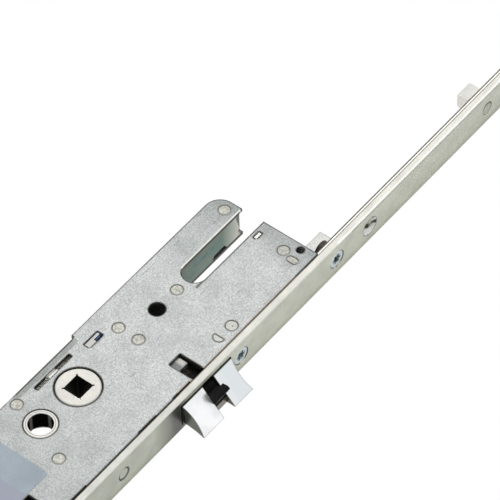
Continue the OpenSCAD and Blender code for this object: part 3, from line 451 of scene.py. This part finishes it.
def upward(tree):
    """How far a face looks up, from 1 for straight up to -1 for straight down."""
    normal = add(tree, "ShaderNodeTexCoord").outputs["Normal"]
    return add(tree, "ShaderNodeSeparateXYZ", links={0: normal}).outputs[2]


tree, shader, shade, place = finish(
    "satin_nickel_plate", "#F4F7F9", metallic=0.85, roughness=0.3, grain=0.35,
    shades=((0.3, "#F9FBFD"), (0.7, "#FFFFFF")), bump=0.05)
upper_horn = inside(tree, place, (-WIDE, -WIDE, 36), (WIDE, WIDE, 60), blur=8)
shade = paint(tree, shader, shade, upper_horn, "#E1E6E8")
# Painted shade on faces that look up or down
shaded_flank = add(tree, "ShaderNodeMath", links={0: upward(tree)}, operation="ABSOLUTE")
shaded_flank = add(tree, "ShaderNodeMapRange", {"From Min": 0.3, "From Max": 0.6},
            {"Value": shaded_flank.outputs[0]})
shade = paint(tree, shader, shade, shaded_flank.outputs[0], "#878B81")
# Painted shade along the edges
shade = paint(tree, shader, shade, edges(tree, width=0.5), "#969A95")
for low, high, blur, colour in (
    # Painted shade on the root inside the faceplate and in the gap for the insert, and painted
    # light on the patch under the window
    ((-60, -6, 17), (0.55, 6, 46.4), 0.2, "#33342F"),
    ((-60, -6, 28.95), (12, 6, 35.65), 0.1, "#6E6B63"),
    ((-14.5, 1, 32.4), (-10.8, 3, 36.2), 1, "#F8F2E4"),
):
    shade = paint(tree, shader, shade, inside(tree, place, low, high, blur), colour)
dress(tree, "latch_head", "deadbolt", "upper_hook", "lower_hook")
# Moulded acetal with graphite: a deep black with hardly any sheen
tree, shader = finish(
    "black_moulded_acetal", "#0B0A0A", metallic=0.0, roughness=0.5, grain=0.4,
    shades=((0.3, "#070606"), (0.7, "#0C0A0A")), bump=0.1)[:2]
shader.inputs["Specular IOR Level"].default_value = 0.1
dress(tree, "latch_insert")
# Punched works, zinc plated, with dark edges of painted shade: painted pale where daylight falls on
# them under the window, and painted blue-grey shade in the case
tree, shader, shade, place = finish(
    "zinc_plated_works", "#D9D9D6", metallic=0.2, roughness=0.4, grain=0.6,
    shades=((0.3, "#CDCDCA"), (0.7, "#EEEEEB")), bump=0.2)
shade = paint(tree, shader, shade, edges(tree, width=0.5), "#77776F")
in_case = inside(tree, place, (-52, -6, -127), (-4, 7, 90), blur=1)
shade = paint(tree, shader, shade, in_case, "#474D50")
under_window = inside(tree, place, (-14.6, -6, 32.4), (-11.6, 0, 35.2), blur=2.2)
paint(tree, shader, shade, under_window, "#E5E3DA")
dress(tree, "latch_tail", "drive_plate")
# Pins turned from bright bar: a plain metallic grey
tree = finish(
    "turned_steel_pin", "#AEB3B8", metallic=0.7, roughness=0.3, grain=0.3,
    shades=((0.3, "#9DA2A7"), (0.7, "#BCC1C6")), bump=0.1)[0]
dress(tree, "bolt_drive_pin", "upper_hook_pin", "lower_hook_pin")

# ---- Rails and their guides ----
# Rolled steel strip, bright zinc plated, with rolling lines along its length. The guides behind it
# are natural nylon, milky at the edges, and the threaded sleeve is dark oiled steel.
tree, shader, shade, place = finish(
    "bright_zinc_plated_strip", "#DDDCD4", metallic=0.3, roughness=0.35, grain=0.5,
    shades=((0.3, "#CDCCC3"), (0.7, "#E9E8E1")), bump=0.1, lie=(1, 1, 0.05))
# Painted highlight along the strip's edge, with a dark brown line of painted shade at its back
LOCK_END = 2000  # past both ends of the faceplate
edge_highlight = inside(tree, place, (-6, -6, -LOCK_END), (-3, -5.1, LOCK_END))
shade = paint(tree, shader, shade, edge_highlight, "#FBFAF6")
painted_edge_shade = inside(tree, place, (-6, -6, -LOCK_END), (-5.05, -5, LOCK_END))
paint(tree, shader, shade, painted_edge_shade, "#4F4736")
dress(tree, "upper_rail", "lower_rail")
# Nylon lets some light through, and its faces that look down get a faint painted glow as painted
# light; its pegs carry painted shade on one side
tree, shader, shade, place = finish(
    "natural_nylon", "#EAEAE6", metallic=0.0, roughness=0.5, grain=0.8,
    shades=((0.3, "#E4E4E0"), (0.7, "#F0F0EC")), bump=0.1)
light_depth = 4 * MM
shader.inputs["Subsurface Weight"].default_value = 0.8
shader.inputs["Subsurface Radius"].default_value = (light_depth,) * 3
below = add(tree, "ShaderNodeMapRange", {"From Min": -0.3, "From Max": -0.8},
            {"Value": upward(tree)})
# Painted light: an emission on the faces that look down
painted_glow = add(tree, "ShaderNodeMapRange", {"To Min": 0.0, "To Max": 0.36},
           {"Value": below.outputs[0]})
tree.links.new(painted_glow.outputs[0], shader.inputs["Emission Strength"])
shader.inputs["Emission Color"].default_value = srgb("#E9E2DC")
peg = inside(tree, place, (-0.5, -4, -LOCK_END), (1, 4, LOCK_END))
shade = paint(tree, shader, shade, peg, "#D3D6C6")
guide_pegs = (-654, -516, -378, -240, 207, 346, 485)  # their heights
lit_side = near(tree, place, [(0, 0.45, z) for z in guide_pegs], reach=2.6, blur=0.3,
                across=FROM_FRONT)
paint(tree, shader, shade, both(tree, peg, lit_side, "SUBTRACT"), "#6F7063")
dress(tree, "rail_guides")
# Dark oiled steel: brown-black with a soft metallic shine
tree = finish(
    "dark_oiled_steel", "#3A342E", metallic=0.5, roughness=0.4, grain=0.5,
    shades=((0.3, "#2C2722"), (0.7, "#48413A")), bump=0.1)[0]
dress(tree, "rail_sleeve")

# ---- Screws ----
# Countersunk machine screws with a six-lobed recess, cold headed, zinc plated and clear blue
# passivated. They hold the faceplate to the case's lugs and to the hook boxes. The heads are a pale
# cool blue, with painted shade in a ring round the recess and along the edges, and the recess holds
# painted shade with painted glints in it.
tree, shader, shade, place = finish(
    "blue_passivated_screw", "#DDE6E8", metallic=0.3, roughness=0.3, grain=0.5,
    shades=((0.3, "#D0DADD"), (0.7, "#EAF1F2")), bump=0.2)
screw_spots = [(0, 0, z) for z in (-833, -744, -115, 52.45, 111, 527, 616)]
glint_size = 1.4 * MM
# Painted shade in a ring round each recess
shaded_ring = near(tree, place, screw_spots, reach=2.5, blur=0.5, across=FROM_FRONT)
shade = paint(tree, shader, shade, shaded_ring, "#AFC0BF")
# Painted shade in the recess, with painted glints
recess = inside(tree, place, (-9, -2.6, -LOCK_END), (-0.34, 2.6, LOCK_END))
patch = add(tree, "ShaderNodeTexNoise", {"Scale": 1 / glint_size, "Detail": 1.0},
            {"Vector": place})
glint = add(tree, "ShaderNodeValToRGB", links={0: patch.outputs["Fac"]},
            stops=((0.46, "#2C4749"), (0.56, "#C5D8D8")))
mixed = add(tree, "ShaderNodeMix", links={FACTOR: recess, UNDER: shade, OVER: glint.outputs[0]},
            data_type="RGBA")
# Painted shade along the edges
paint(tree, shader, mixed.outputs[MIXED], edges(tree, width=0.45), "#8C9C9C")
dress(tree, "case_screws", "hook_box_screws")

# ---- Faceplate ----
# A flat of 16 x 3 mm rolled steel, punched for the latch, the bolts and the screws, with its front
# edges broken. Bright zinc plate over the rolling lines: cream on the sheared sides, a greener grey
# on the rolled front, with painted shade that darkens the front towards the far edge and round the
# latch.
tree, shader, shade, place = finish(
    "bright_zinc_plated_flat", "#E6E3D9", metallic=0.15, roughness=0.36, grain=0.5,
    shades=((0.3, "#EAE8DE"), (0.7, "#FBF8EF")), bump=0.12, lie=(1, 1, 0.08))
front = inside(tree, place, (-0.06, -20, -LOCK_END), (1, 20, LOCK_END))
shade = paint(tree, shader, shade, front, "#E8EEE3", "MULTIPLY")
sides = inside(tree, place, (-9, -30, -LOCK_END), (-0.06, 30, LOCK_END))
lower = inside(tree, place, (-WIDE, -WIDE, -LOCK_END), (WIDE, WIDE, 60), blur=90)
low_side = both(tree, sides, lower)
shade = paint(tree, shader, shade, low_side, "#F0F2F3", "MULTIPLY")
shade = paint(tree, shader, shade, sides, "#F7F8F8", "MULTIPLY")
for low, high, blur, tint in (
    # Painted shade towards the far edge, in two steps
    ((-WIDE, 2, -LOCK_END), (WIDE, WIDE, LOCK_END), 10, "#EBEDE7"),
    ((-WIDE, 6.6, -LOCK_END), (WIDE, WIDE, LOCK_END), 4, "#D3D4C5"),
    # Painted shade below the latch and round it
    ((-WIDE, -WIDE, -LOCK_END), (WIDE, WIDE, 14), 30, "#E9EAEB"),
    ((-WIDE, -WIDE, 7), (WIDE, WIDE, 21), 12, "#74756E"),
    ((-WIDE, -WIDE, 13), (WIDE, WIDE, 18), 5, "#686962"),
):
    shaded_front = both(tree, front, inside(tree, place, low, high, blur))
    shade = paint(tree, shader, shade, shaded_front, tint, "MULTIPLY")
for low, high, blur, colour in (
    # Broken front edge above the case, with a painted highlight and a dark line of painted shade
    # beside it
    ((-0.2, -7.72, 120), (1, -7.2, LOCK_END), 0.1, "#83846F"),
    ((-0.8, before, 112), (1, -7.72, LOCK_END), 0.2, "#FFFEFA"),
):
    shade = paint(tree, shader, shade, inside(tree, place, low, high, blur), colour)
# Turned walls of the holes, with painted reflections of light and dark
mirror_size = 3.5 * MM
wall = inside(tree, place, (-2.95, -7, -LOCK_END), (-0.06, 7, LOCK_END))
patch = add(tree, "ShaderNodeTexNoise", {"Scale": 1 / mirror_size, "Detail": 1.0},
            {"Vector": place})
mirror = add(tree, "ShaderNodeValToRGB", links={0: patch.outputs["Fac"]},
             stops=((0.42, "#4A463D"), (0.52, "#F5F5F1")))
mixed = add(tree, "ShaderNodeMix", links={FACTOR: wall, UNDER: shade, OVER: mirror.outputs[0]},
            data_type="RGBA")
shade = mixed.outputs[MIXED]
peg_spots = [(0, 0, z) for z in (*guide_pegs, lug_peg)]
peg_holes = near(tree, place, peg_spots, reach=3.4, across=FROM_FRONT)
shade = paint(tree, shader, shade, both(tree, peg_holes, wall), "#B2B5A6")
# Painted shade: dark crescents in the sinks at both ends of each screw
sinks = both(tree, near(tree, place, screw_spots, reach=4.5, blur=0.2, across=FROM_FRONT), wall)
ends = add(tree, "ShaderNodeMath", links={0: upward(tree)}, operation="ABSOLUTE")
ends = add(tree, "ShaderNodeMapRange", {"From Min": 0.25, "From Max": 0.45},
           {"Value": ends.outputs[0]})
shade = paint(tree, shader, shade, both(tree, sinks, ends.outputs[0]), "#23261F")
# Painted shade: a thin dark rim round each countersink for a door screw
door_spots = [(0, 0, z) for z in (-990, -447, -309, -190, 131.5, 276.5, 415.5, 720)]
rims = both(tree, near(tree, place, door_spots, reach=4.5, across=FROM_FRONT),
            near(tree, place, door_spots, reach=4.15, across=FROM_FRONT), "SUBTRACT")
shade = paint(tree, shader, shade, both(tree, rims, front), "#66675B")
# Dark joint along the rear edges, where oil creeps out, and a paler stretch beside the cover
joint_y, joint_half = 8.3, 0.8
for side, low, high, colour in (
    (-1, -LOCK_END, 20, "#5F594B"),
    (-1, 20, 95, "#9C9485"),
    (-1, 95, LOCK_END, "#5F594B"),
    (1, -LOCK_END, LOCK_END, "#5F594B"),
):
    y = side * joint_y
    joint = inside(tree, place, (-3.2, y - joint_half, low), (-2.68, y + joint_half, high))
    shade = paint(tree, shader, shade, joint, colour)
dress(tree, "faceplate")

# ---- Label ----
# A blank paper label with rounded corners, cut from a printed sheet of two tints, a cool grey and
# a faint violet below it. It is stuck on the side sheet under the handle bush.
label_middle = Vector((-34.6, -7.55, -58.5)) * MM
label_size = Vector((32.8, 0.1, 43)) * MM
corner_radius = 0.8 * MM
label = bmesh.new()
bmesh.ops.create_cube(label, size=1.0, matrix=Matrix.LocRotScale(label_middle, None, label_size))
corners = [e for e in label.edges if abs(e.verts[0].co.y - e.verts[1].co.y) > label_size.y / 2]
bmesh.ops.bevel(label, geom=corners, offset=corner_radius, offset_type="OFFSET", affect="EDGES",
                segments=6, profile=0.5, material=-1)
mesh = bpy.data.meshes.new("label")
label.to_mesh(mesh)
label.free()
sticker = bpy.data.objects.new("label", mesh)
bpy.context.scene.collection.objects.link(sticker)
tree, shader, shade, place = finish(
    "tinted_label_paper", "#A9B3BC", metallic=0.0, roughness=0.5, grain=0.4,
    shades=((0.34, "#95A0AA"), (0.64, "#ABB6BF")), bump=0.05)
violet = inside(tree, place, (-60, before, -90), (0, 0, -49.5), blur=0.2)
paint(tree, shader, shade, violet, "#9CA0AF")
mesh.materials.append(made_of(tree))
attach(sticker, "case")
